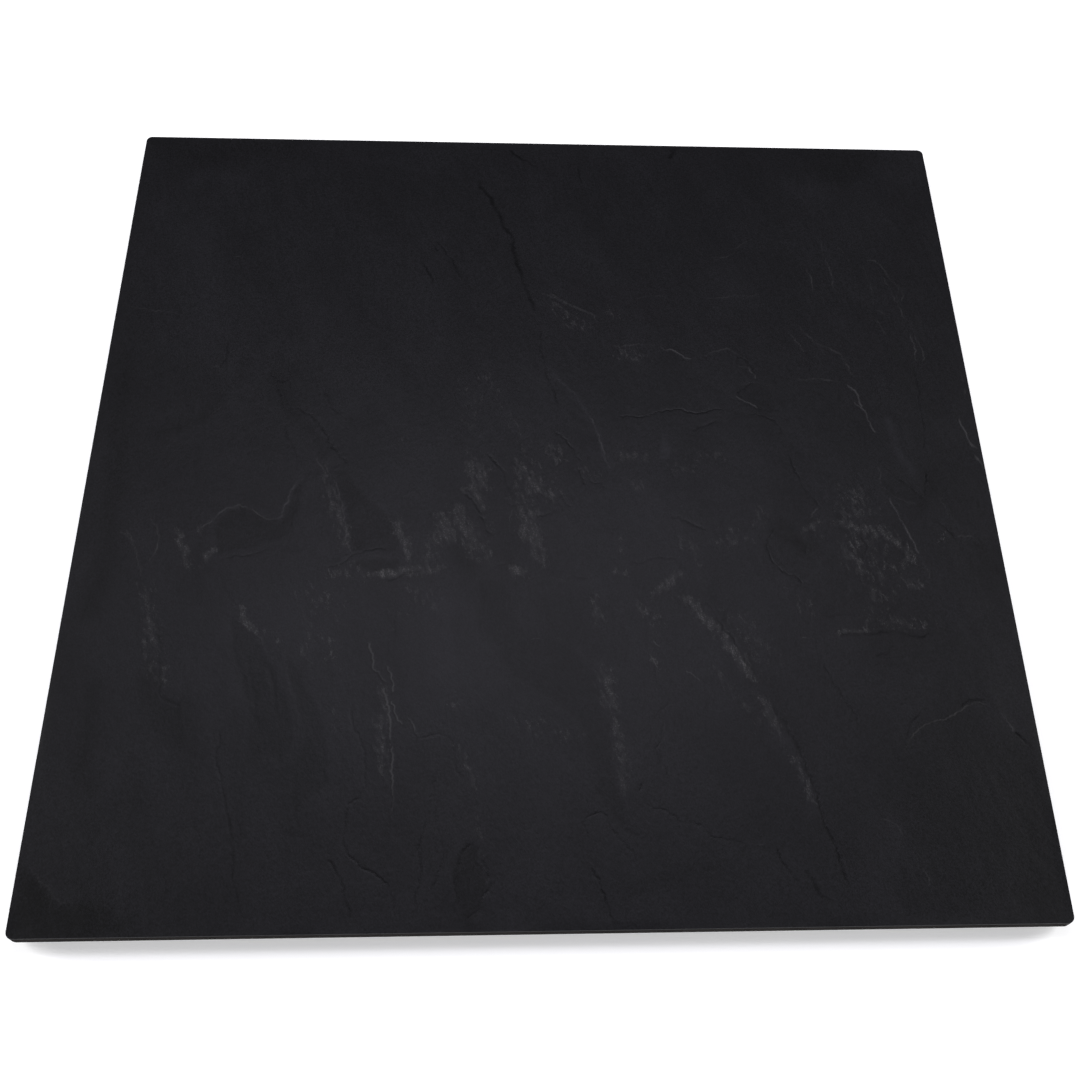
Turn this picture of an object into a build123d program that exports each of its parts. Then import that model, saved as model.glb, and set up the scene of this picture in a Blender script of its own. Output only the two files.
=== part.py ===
"""A thin riven stone bench slab for leatherwork.

One square of black stone, split along its bed on top and sawn flat underneath, with a glass-mesh and
resin backing bonded to the sawn side and a grid of stick-on rubber feet that stop it sliding and keep
its span short under a mallet.

Frame, in millimetres: +X runs right along the front edge, +Y runs to the back and +Z is up. The origin
is on the bench under the middle of the slab, so the feet stand on Z = 0. Each piece is its own solid
and is written to parts/ under its own name.
"""

import math
import os

from build123d import *

# Stone
SLAB_WIDTH = 700.0  # along X
SLAB_DEPTH = 700.0  # along Y
STONE_THICKNESS = 10.0  # from the sawn back to the top of the riven face
CORNER_RADIUS = 5.0  # upright corners, seen from above
ARRIS = 0.8  # 45 degree bevel round the top and the bottom of the edge

# Glass mesh set in resin on the sawn back
BACKING_THICKNESS = 0.6
BACKING_MARGIN = 4.0  # bare stone left round the backing
BACKING_CORNER_RADIUS = 3.0

# Rubber feet
FOOT_DIAMETER = 25.0
FOOT_HEIGHT = 3.0
FOOT_EDGE_ROUND = 0.5  # round on the rim that meets the bench
FOOT_INSET = 45.0  # from the slab's edge to the centre of an outer foot
RECESS_WALL = 2.25  # rubber left round the recess in the top of a foot
RECESS_DEPTH = 0.4  # how deep the tape sits in the top of its foot
RECESS_DIAMETER = FOOT_DIAMETER - 2 * RECESS_WALL
GRIP_CENTRE_DIAMETER = 6.0  # flat land in the middle of the sole
GRIP_GROOVE_WIDTH = 1.2
GRIP_GROOVE_DEPTH = 0.6
GRIP_RIB_WIDTH = 1.8  # land left between two grooves

# Foam tape that bonds a foot to the backing
TAPE_THICKNESS = 0.8
TAPE_CLEARANCE = 0.25  # between the tape and the wall of its recess, all round
TAPE_DIAMETER = RECESS_DIAMETER - 2 * TAPE_CLEARANCE

# Heights, from the bench up
TAPE_BASE = FOOT_HEIGHT - RECESS_DEPTH
BACKING_BASE = TAPE_BASE + TAPE_THICKNESS
STONE_BASE = BACKING_BASE + BACKING_THICKNESS

# The grid of feet: each row and column by name, with the side of the middle that it lies on
FOOT_ROWS = {"front": -1, "middle": 0, "back": 1}
FOOT_COLUMNS = {"left": -1, "centre": 0, "right": 1}

FROM_BELOW = (Align.CENTER, Align.CENTER, Align.MIN)


def rounded_plate(width, depth, thickness, corner_radius):
    """A flat plate with upright rounded corners, centred on Z and standing on Z = 0."""
    return extrude(RectangleRounded(width, depth, corner_radius), thickness)


def make_stone_slab():
    """The stone: a plate whose top and bottom rims are eased with a small bevel."""
    plate = rounded_plate(SLAB_WIDTH, SLAB_DEPTH, STONE_THICKNESS, CORNER_RADIUS)
    rims = plate.faces().filter_by(Axis.Z).edges()
    return Pos(Z=STONE_BASE) * chamfer(rims, ARRIS)


def make_mesh_backing():
    """The mesh and the resin that holds it, as one sheet that stops short of the stone's edge."""
    sheet = rounded_plate(
        SLAB_WIDTH - 2 * BACKING_MARGIN,
        SLAB_DEPTH - 2 * BACKING_MARGIN,
        BACKING_THICKNESS,
        BACKING_CORNER_RADIUS,
    )
    return Pos(Z=BACKING_BASE) * sheet


def grip_groove(inner_radius):
    """The ring that one groove takes out of a foot's sole."""
    outer = Cylinder(inner_radius + GRIP_GROOVE_WIDTH, GRIP_GROOVE_DEPTH, align=FROM_BELOW)
    inner = Cylinder(inner_radius, GRIP_GROOVE_DEPTH, align=FROM_BELOW)
    return outer - inner


def grip_groove_radii():
    """Inner radii of the grooves that fit between the sole's middle and its rounded rim."""
    first = GRIP_CENTRE_DIAMETER / 2
    last = FOOT_DIAMETER / 2 - FOOT_EDGE_ROUND - GRIP_RIB_WIDTH - GRIP_GROOVE_WIDTH
    pitch = GRIP_GROOVE_WIDTH + GRIP_RIB_WIDTH
    count = math.floor((last - first) / pitch) + 1
    return [first + number * pitch for number in range(count)]


def make_foot():
    """A low rubber disc with a ribbed sole and, on top, the shallow recess that its tape sits in."""
    foot = Cylinder(FOOT_DIAMETER / 2, FOOT_HEIGHT, align=FROM_BELOW)
    sole_rim = foot.edges().sort_by(Axis.Z)[0]
    foot = fillet(sole_rim, FOOT_EDGE_ROUND)
    recess = Cylinder(RECESS_DIAMETER / 2, RECESS_DEPTH, align=FROM_BELOW)
    foot -= Pos(Z=TAPE_BASE) * recess
    for inner_radius in grip_groove_radii():
        foot -= grip_groove(inner_radius)
    return foot


def make_foot_tape():
    """The round of double-sided foam tape between one foot and the backing."""
    return Pos(Z=TAPE_BASE) * Cylinder(TAPE_DIAMETER / 2, TAPE_THICKNESS, align=FROM_BELOW)


def foot_places():
    """Each foot's name and the place of its axis."""
    reach_x = SLAB_WIDTH / 2 - FOOT_INSET
    reach_y = SLAB_DEPTH / 2 - FOOT_INSET
    return {
        f"{row}_{column}": Pos(side_x * reach_x, side_y * reach_y)
        for row, side_y in FOOT_ROWS.items()
        for column, side_x in FOOT_COLUMNS.items()
    }


def make_pieces():
    """Every piece of the slab, by name."""
    pieces = {"stone_slab": make_stone_slab(), "mesh_backing": make_mesh_backing()}
    foot = make_foot()
    tape = make_foot_tape()
    for name, place in foot_places().items():
        pieces[f"foot_{name}"] = place * foot
        pieces[f"foot_tape_{name}"] = place * tape
    return pieces


os.makedirs("parts", exist_ok=True)
for piece_name, piece in make_pieces().items():
    export_step(piece, f"parts/{piece_name}.step")
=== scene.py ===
# %% [markdown]
# # A riven stone bench slab
#
# The object is one thin square of black stone, split along its bed on top and sawn underneath. Glass
# net and resin back it, and nine rubber feet hold it off the bench. This lesson starts from the
# slab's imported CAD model, which holds every size, and gives each piece the shape and the finish that
# the CAD model leaves out. The CAD nodes never move.

# %% Load the frame
import math

import bpy
import numpy as np
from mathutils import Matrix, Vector, noise


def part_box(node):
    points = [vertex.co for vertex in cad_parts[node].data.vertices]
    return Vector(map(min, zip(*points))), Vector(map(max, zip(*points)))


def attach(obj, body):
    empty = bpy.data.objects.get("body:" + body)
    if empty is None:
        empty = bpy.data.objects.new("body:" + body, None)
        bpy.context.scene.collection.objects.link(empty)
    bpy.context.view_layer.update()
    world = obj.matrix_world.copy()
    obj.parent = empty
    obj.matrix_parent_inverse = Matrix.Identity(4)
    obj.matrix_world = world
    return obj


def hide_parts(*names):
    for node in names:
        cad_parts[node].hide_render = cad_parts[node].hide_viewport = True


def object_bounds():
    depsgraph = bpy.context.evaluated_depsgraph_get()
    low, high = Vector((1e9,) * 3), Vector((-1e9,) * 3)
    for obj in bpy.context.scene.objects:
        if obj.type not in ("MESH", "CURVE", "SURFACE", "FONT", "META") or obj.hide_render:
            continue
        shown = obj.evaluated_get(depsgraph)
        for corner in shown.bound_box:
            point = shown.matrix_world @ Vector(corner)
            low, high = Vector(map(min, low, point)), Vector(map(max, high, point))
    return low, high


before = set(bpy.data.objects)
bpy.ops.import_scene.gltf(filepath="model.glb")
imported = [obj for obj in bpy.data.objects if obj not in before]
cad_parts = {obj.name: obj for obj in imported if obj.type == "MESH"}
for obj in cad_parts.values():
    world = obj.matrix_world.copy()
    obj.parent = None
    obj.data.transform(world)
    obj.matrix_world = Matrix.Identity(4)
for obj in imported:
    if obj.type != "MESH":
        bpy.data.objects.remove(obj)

MM = 0.001
cad_low, cad_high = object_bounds()
stone_low, stone_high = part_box("stone_slab")
WIDTH = stone_high.x - stone_low.x
DEPTH = stone_high.y - stone_low.y
THICKNESS = stone_high.z - stone_low.z
print(f"stone: {WIDTH / MM:.0f} x {DEPTH / MM:.0f} x {THICKNESS / MM:.1f} mm")

# %% [markdown]
# ## Where we stand
#
# Someone standing at the bench looks down at the slab from a little in front of its near edge. All
# the camera's distances are shares of the slab's width, so they follow the slab if it is resized. The
# small sideways shift slides the picture across without turning the camera, as a view camera does.

# %% Put up the camera
camera_data = bpy.data.cameras.new("standing_view")
camera = bpy.data.objects.new("standing_view", camera_data)
bpy.context.scene.collection.objects.link(camera)
bpy.context.scene.camera = camera
camera.location = Vector((-0.0398, -0.7803, 1.2706)) * WIDTH + Vector((0, 0, stone_high.z))
camera.rotation_euler = [math.radians(angle) for angle in (28.76, -2.84, -1.482)]
camera_data.sensor_width = 36
camera_data.lens = 44.65
camera_data.shift_x = -0.0412
camera_data.clip_start = 0.01
print("camera stands", round(camera.location.z - stone_high.z, 3), "m above the face")

# %% [markdown]
# ## Light for a black surface
#
# Black stone shows what it mirrors more than what falls on it. So the room is dim, and three large soft
# lamps stand low at the two sides and in front, where the face can't mirror them towards us. One wide
# lamp hangs beyond the far edge and lays a faint broad sheen on the middle and near half. The floor is a
# plain pale sheet that glows a little, like a light table, which keeps the slab's shadow soft.

# %% Lamps, room and floor
scene = bpy.context.scene
scene.view_settings.view_transform = "Standard"

room = bpy.data.worlds.new("dim_studio")
scene.world = room
room.use_nodes = True
room.node_tree.nodes["Background"].inputs["Color"].default_value = (0.965, 0.955, 1.07, 1)
room.node_tree.nodes["Background"].inputs["Strength"].default_value = 0.15


def hang_lamp(name, place, aim, size, watts, colour=(1, 1, 1)):
    """A soft lamp of a width and height at a place, turned to shine at another place."""
    lamp_data = bpy.data.lights.new(name, "AREA")
    lamp_data.shape = "RECTANGLE"
    lamp_data.size, lamp_data.size_y = size
    lamp_data.energy = watts
    lamp_data.color = colour
    lamp = bpy.data.objects.new(name, lamp_data)
    scene.collection.objects.link(lamp)
    lamp.location = place
    lamp.rotation_euler = (Vector(aim) - Vector(place)).to_track_quat("-Z", "Y").to_euler()


hang_lamp("left_softbox", (-3.6, 0.7, 1.1), (0, 0, 0), (1.4, 1.4), 210)
hang_lamp("right_softbox", (3.6, 0.9, 1.1), (0, 0, 0), (1.4, 1.4), 200)
hang_lamp("front_softbox", (0.0, -3.6, 0.8), (0, 0, 0), (2.4, 0.8), 105)
hang_lamp("sheen_lamp", (-0.05, 0.70, 1.85), (-0.05, -0.1, 0), (1.35, 0.4), 7.1, (0.995, 0.98, 1.12))

FLOOR_SIZE = 12
bpy.ops.mesh.primitive_plane_add(size=FLOOR_SIZE, location=(0, 0, cad_low.z))
floor = bpy.context.active_object
floor.name = "floor"
bpy.ops.object.transform_apply(location=True, rotation=True, scale=True)
paper = bpy.data.materials.new("pale_paper")
paper.use_nodes = True
paper_shader = paper.node_tree.nodes["Principled BSDF"]
paper_shader.inputs["Base Color"].default_value = (0.86, 0.86, 0.86, 1)
paper_shader.inputs["Roughness"].default_value = 0.9
paper_shader.inputs["Specular IOR Level"].default_value = 0.1
paper_shader.inputs["Emission Color"].default_value = (1, 1, 1, 1)
paper_shader.inputs["Emission Strength"].default_value = 0.3
floor.data.materials.append(paper)

# %% [markdown]
# ## Helpers for working by hand in code
#
# Blender's operators act on whatever is selected, so each step first clears the selection and then
# picks vertices, edges or faces by where they are. Their places come out of the mesh as one array, and
# the choice goes back in as another, which is much quicker than a loop over a hundred thousand faces.

# %% Selecting by place


def clear_selection():
    """Nothing is selected and no edit mode is open."""
    if bpy.context.mode != "OBJECT":
        bpy.ops.object.mode_set(mode="OBJECT")
    bpy.ops.object.select_all(action="DESELECT")


def read(items, what, width=3, kind=np.float64):
    """One value of every vertex, edge or face of a mesh, as an array."""
    values = np.empty(len(items) * width, kind)
    items.foreach_get(what, values)
    return values.reshape(-1, width) if width > 1 else values


def edit_chosen(piece, kind, chosen):
    """Opens a piece in edit mode with just these vertices, edges or faces selected."""
    bpy.ops.object.mode_set(mode="OBJECT")
    bpy.context.view_layer.objects.active = piece
    elements = {"VERT": piece.data.vertices, "EDGE": piece.data.edges, "FACE": piece.data.polygons}
    for other, items in elements.items():
        items.foreach_set("select", chosen if other == kind else np.zeros(len(items), bool))
    bpy.ops.object.mode_set(mode="EDIT")
    bpy.ops.mesh.select_mode(type=kind)


def edge_ends(piece):
    """The two end points of every edge, as an array of edges by ends by X, Y and Z."""
    return read(piece.data.vertices, "co")[read(piece.data.edges, "vertices", 2, np.int32)]


def smooth_shading(piece, angle):
    """Smooth over the whole piece, except where two faces meet at more than this many degrees."""
    piece.data.shade_smooth()
    bpy.ops.object.shade_smooth_by_angle(angle=math.radians(angle))


def triangles(piece):
    """How many triangles a piece comes to."""
    return int((read(piece.data.polygons, "loop_total", 1, np.int32) - 2).sum())


print("the floor has", triangles(floor), "triangles")

# %% [markdown]
# ## The stone blank
#
# The saw leaves a flat square blank with rounded corners and an eased arris. It could be a cube with
# its corners bevelled, but the top needs many vertices to be split later, and a cube's top face has
# only four. So it starts as a grid: the four corner vertices are bevelled into quarter rounds, the
# sheet is extruded down to the stone's thickness, and the sharp rims are bevelled into an arris. The
# underside stays flat, so its squares are dissolved into one face.

# %% Grid, corners, thickness and arris
CELLS = 88
CORNER_RADIUS = 5 * MM
CORNER_STEPS = 6
ARRIS = 0.8 * MM
ARRIS_STEPS = 2
LEVEL = 0.99  # a face counts as level when its normal is this upright

clear_selection()
bpy.ops.mesh.primitive_grid_add(
    x_subdivisions=CELLS, y_subdivisions=CELLS, size=WIDTH, location=(0, 0, stone_high.z)
)
stone = bpy.context.active_object
stone.name = "riven_stone"
bpy.ops.object.transform_apply(location=True, rotation=True, scale=True)
to_edge = (WIDTH / 2, DEPTH / 2) - np.abs(read(stone.data.vertices, "co")[:, :2])
at_corner = (to_edge < CORNER_RADIUS).all(axis=1)
edit_chosen(stone, "VERT", at_corner)
bpy.ops.mesh.bevel(offset=CORNER_RADIUS, segments=CORNER_STEPS, profile=0.5, affect="VERTICES")
bpy.ops.mesh.select_all(action="SELECT")
bpy.ops.mesh.extrude_region_move(TRANSFORM_OT_translate={"value": (0, 0, -THICKNESS)})
bpy.ops.mesh.select_all(action="SELECT")
bpy.ops.mesh.normals_make_consistent(inside=False)
bpy.ops.mesh.select_mode(type="EDGE")
bpy.ops.mesh.select_all(action="DESELECT")
bpy.ops.mesh.edges_select_sharp(sharpness=math.radians(60))
bpy.ops.mesh.bevel(offset=ARRIS, segments=ARRIS_STEPS, profile=0.5, affect="EDGES")
bpy.ops.object.mode_set(mode="OBJECT")
edit_chosen(stone, "FACE", read(stone.data.polygons, "normal")[:, 2] < -LEVEL)
bpy.ops.mesh.dissolve_faces()
bpy.ops.object.mode_set(mode="OBJECT")
print("blank:", triangles(stone), "triangles,", int(at_corner.sum()), "corners rounded")

# %% [markdown]
# ## How the stone splits
#
# A riven face is a stack of thin sheets, each broken off along a ragged line. Six things make its look. Each
# is a list of lines or outlines drawn on the slab, in millimetres, with X to the right and Y away from us,
# and the origin at the middle:
#
# - a step, where one sheet ends: its depth, how far the lower ground takes to come back up, and how
#   pale the broken lip is. The ground falls on the right of the line as it is walked, or on the left
#   where the depth is negative;
# - a crack: its depth and its width;
# - a lip, a thin pale broken edge, its paleness partly painted highlight: how pale it is and how wide;
# - a scuff, where crushed mineral powder shows pale, with painted sheen of its rough tooth: how strong it is
#   and how wide;
# - a tone, a soft lighter or darker streak, a few of them painted sheen and painted shade: how much, and how
#   wide;
# - a plate, where one sheet shows in outline: how much lighter or darker it is, partly its own tone and
#   partly painted sheen of a sheet tilted to the light, and how soft its edge.
#
# Depths and strengths are only compared with each other. The cells that use them say what they come to.

# %% Steps: depth, reach, paleness, line
STEPS = [
    (0.45, 14, 0.35, [(-266, -51), (-253, -44), (-248, -37), (-241, -31), (-233, -28), (-226, -31),
                      (-217, -37), (-207, -41), (-200, -38), (-197, -27), (-195, -15), (-189, -2)]),
    (-0.5, 18, 0.45, [(-176, 16), (-170, 6), (-165, -4), (-159, -14), (-156, -25), (-153, -38),
                      (-151, -52), (-149, -64), (-143, -72)]),
    (-0.18, 26, 0.1, [(-302, 36), (-286, 41), (-273, 46), (-262, 54), (-254, 66), (-248, 80), (-244, 96)]),
    (0.2, 12, 0.0, [(2, 105), (9, 95), (18, 83), (26, 72), (32, 61), (38, 50), (42, 38), (45, 24),
                    (48, 12), (51, 4)]),
    (0.35, 20, 0.4, [(250, -236), (255, -222), (262, -214), (272, -208), (284, -205), (294, -199),
                     (302, -194), (312, -192), (322, -196), (327, -203), (331, -211), (336, -219),
                     (343, -229)]),
    (-0.3, 22, 0.0, [(-48, -92), (-46, -110), (-49, -130), (-42, -150), (-30, -165)]),
    (0.25, 22, 0.0, [(-110, -98), (-112, -115), (-111, -132), (-113, -150)]),
    (0.3, 10, 0.1, [(226, -276), (235, -279), (240, -285), (245, -293), (250, -306), (255, -321),
                    (260, -338)]),
]
print(len(STEPS), "steps")

# %% Cracks: depth, width, line
CRACKS = [
    # the far side
    (0.7, 2.3, [(-58, 310), (-54, 300), (-46, 286), (-37, 264), (-26, 241), (-22, 214), (-17, 192),
                (-11, 173), (-6, 156)]),
    (0.25, 1.5, [(-6, 156), (-4, 145), (-2, 128), (1, 108), (5, 85), (12, 62)]),
    (0.3, 1.2, [(-98, 238), (-93, 229), (-88, 223)]),
    (0.4, 1.2, [(-93, 236), (-84, 224), (-76, 213), (-73, 204), (-70, 195)]),
    (0.3, 1.3, [(-104, 211), (-98, 204), (-95, 197), (-91, 185)]),
    (0.4, 1.6, [(-30, 342), (-22, 335), (-10, 327), (-2, 319)]),
    (0.3, 1.0, [(32, 322), (34, 312), (36, 302)]),
    (0.55, 2.0, [(122, 345), (119, 340), (115, 334)]),
    # the middle, left to right
    (0.35, 1.4, [(-200, 62), (-192, 58), (-184, 54), (-176, 44), (-170, 34), (-164, 22), (-158, 14),
                 (-151, 8)]),
    (0.35, 1.4, [(-206, 46), (-199, 30), (-192, 16), (-188, 3)]),
    (0.25, 1.1, [(-222, 98), (-216, 90), (-211, 86), (-205, 88), (-201, 79)]),
    (0.2, 1.6, [(-214, 82), (-209, 70), (-207, 58)]),
    (0.2, 1.6, [(-178, 80), (-172, 72), (-168, 60), (-160, 52)]),
    (0.2, 1.6, [(-258, 126), (-256, 110), (-259, 97)]),
    (0.25, 1.0, [(-246, -80), (-240, -74), (-228, -72), (-215, -69), (-205, -63), (-195, -64), (-186, -71)]),
    (0.4, 1.3, [(-168, -82), (-158, -80), (-150, -76), (-143, -70), (-134, -67), (-118, -66)]),
    (0.5, 2.0, [(-123, -91), (-116, -92), (-109, -88), (-100, -85), (-92, -84)]),
    (0.4, 2.6, [(-43, -84), (-37, -80), (-30, -78)]),
    (0.5, 1.6, [(-48, 20), (-41, 13), (-35, 6), (-31, -2), (-29, -11), (-25, -18)]),
    (0.5, 1.6, [(-66, -19), (-60, -19), (-55, -26), (-50, -34), (-47, -42), (-45, -50), (-41, -57)]),
    (0.4, 1.5, [(-32, -22), (-27, -28), (-22, -26)]),
    (0.35, 1.3, [(-8, -38), (-2, -37), (4, -35), (8, -30)]),
    (0.35, 1.3, [(9, -20), (11, -27), (13, -33)]),
    (0.35, 1.3, [(12, -17), (15, -25), (20, -30)]),
    (0.55, 1.3, [(6, 38), (12, 37), (17, 32), (22, 24), (26, 15), (29, 10)]),
    (0.45, 1.4, [(27, 6), (28, -2), (31, -10)]),
    (0.35, 1.2, [(33, -3), (38, -8), (44, -7), (49, -14)]),
    (0.35, 1.0, [(11, -84), (16, -86), (22, -90), (32, -92)]),
    (0.3, 1.2, [(60, -76), (68, -78), (76, -75), (86, -73), (96, -74), (101, -77)]),
    (0.35, 1.6, [(95, -38), (103, -38), (109, -42), (116, -46), (125, -50)]),
    (0.5, 1.2, [(56, 57), (64, 55), (74, 54), (83, 55), (90, 59), (98, 61), (105, 62), (113, 60),
                (121, 58), (130, 59), (140, 62), (149, 61)]),
    (0.25, 1.2, [(150, 59), (160, 57), (170, 58), (178, 55), (185, 52), (189, 45), (188, 37)]),
    (0.2, 1.8, [(116, 42), (124, 45), (134, 49), (145, 52)]),
    (0.35, 1.2, [(172, 88), (166, 86), (161, 82), (156, 77)]),
    (0.25, 1.5, [(157, 113), (165, 112), (171, 105), (173, 94)]),
    (0.3, 1.3, [(193, 20), (196, 8), (200, -5), (204, -14), (209, -22), (214, -31)]),
    (0.55, 1.2, [(176, -47), (172, -55), (168, -66), (171, -76), (177, -84), (184, -88), (189, -90),
                (192, -98)]),
    (0.3, 1.3, [(200, -62), (198, -70), (194, -74)]),
    (0.4, 1.5, [(242, -55), (247, -62), (243, -71)]),
    (0.3, 1.3, [(266, 9), (275, 1), (284, -8), (291, -16), (296, -22)]),
    (0.3, 1.2, [(301, 5), (299, -8), (297, -19)]),
    (0.2, 1.4, [(309, 112), (307, 90), (306, 65), (305, 40), (303, 20)]),
    (0.4, 1.3, [(302, -41), (307, -46), (311, -50), (316, -56)]),
    # the near side, left to right
    (0.4, 1.5, [(-281, -125), (-279, -140), (-277, -155), (-275, -170), (-273, -182), (-267, -188),
                (-260, -191), (-255, -183)]),
    (0.4, 1.5, [(-244, -82), (-239, -93), (-233, -104), (-227, -115)]),
    (0.25, 2.2, [(-229, -126), (-226, -142), (-221, -160), (-215, -178)]),
    (0.2, 2.6, [(-215, -150), (-210, -170), (-206, -190), (-204, -216)]),
    (0.2, 2.6, [(-200, -158), (-194, -178), (-190, -200)]),
    (0.2, 2.0, [(-187, -155), (-182, -175), (-176, -195), (-172, -216)]),
    (0.35, 1.3, [(-228, -203), (-228, -214), (-230, -228), (-226, -240), (-222, -255), (-217, -272),
                 (-213, -290), (-210, -308), (-206, -322), (-202, -336), (-199, -348)]),
    (0.35, 1.2, [(-128, -184), (-137, -190), (-139, -198), (-136, -210), (-130, -222), (-127, -236),
                 (-126, -250), (-130, -259), (-137, -263), (-138, -278), (-139, -288), (-135, -298),
                 (-128, -305), (-117, -310), (-108, -318), (-103, -330), (-102, -346)]),
    (0.3, 1.3, [(-150, -299), (-143, -308), (-138, -318), (-134, -332), (-130, -343)]),
    (0.3, 1.1, [(-91, -216), (-80, -214), (-69, -214)]),
    (0.4, 1.2, [(-78, -234), (-80, -252), (-83, -268), (-86, -285), (-88, -300), (-86, -312),
                (-89, -325), (-88, -346)]),
    (0.3, 1.1, [(-77, -260), (-78, -275), (-74, -287), (-71, -296), (-73, -308), (-81, -323)]),
    (0.25, 1.2, [(-67, -222), (-66, -236), (-61, -249)]),
    (0.3, 1.3, [(-55, -290), (-61, -303), (-64, -318), (-61, -330), (-66, -342)]),
    (0.3, 1.3, [(-48, -299), (-42, -310), (-40, -320), (-45, -326), (-48, -335), (-56, -343)]),
    (0.15, 1.4, [(-24, -113), (-20, -128), (-12, -139)]),
    (0.2, 1.2, [(12, -142), (20, -150), (28, -160), (33, -173), (38, -190), (41, -208), (44, -230),
                (45, -252)]),
    (0.35, 1.1, [(26, -291), (24, -283), (22, -278), (25, -274), (31, -271), (36, -271), (39, -277),
                 (42, -283), (47, -290), (53, -297), (57, -300), (56, -307)]),
    (0.45, 1.4, [(27, -307), (31, -316), (34, -325), (37, -335), (41, -346)]),
    (0.3, 1.0, [(75, -125), (73, -140), (74, -155), (78, -165), (79, -177), (85, -185), (86, -192),
                (78, -198), (81, -208), (80, -218), (74, -225), (79, -237), (83, -250), (86, -264)]),
    (0.4, 1.1, [(65, -248), (62, -256), (64, -263), (70, -268), (80, -270), (86, -274), (92, -279)]),
    (0.4, 1.1, [(94, -275), (99, -279), (103, -280), (107, -286), (112, -289), (120, -291), (134, -293)]),
    (0.45, 1.5, [(118, -108), (125, -122), (132, -136), (140, -150), (147, -163), (151, -174)]),
    (0.45, 1.5, [(158, -186), (162, -196), (168, -206), (174, -220), (180, -236), (184, -255),
                 (187, -272), (190, -285), (194, -300), (198, -318), (200, -332)]),
    (0.35, 1.2, [(152, -296), (156, -306), (162, -314), (167, -321)]),
    (0.4, 2.0, [(170, -311), (175, -318), (179, -328), (189, -334)]),
    (0.4, 1.2, [(201, -159), (206, -173), (211, -183), (216, -194), (222, -208)]),
    (0.25, 1.5, [(202, -122), (212, -122), (227, -122)]),
    (0.35, 1.3, [(212, -139), (230, -138), (250, -136), (264, -137), (278, -140), (291, -138)]),
    (0.25, 1.2, [(240, -156), (249, -153), (256, -145)]),
    (0.3, 1.6, [(252, -226), (255, -216), (259, -207), (266, -200)]),
    (0.35, 1.4, [(296, -197), (300, -193), (308, -190), (317, -191)]),
    (0.5, 1.6, [(333, -214), (340, -223), (347, -231)]),
]
print(len(CRACKS), "cracks")

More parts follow.
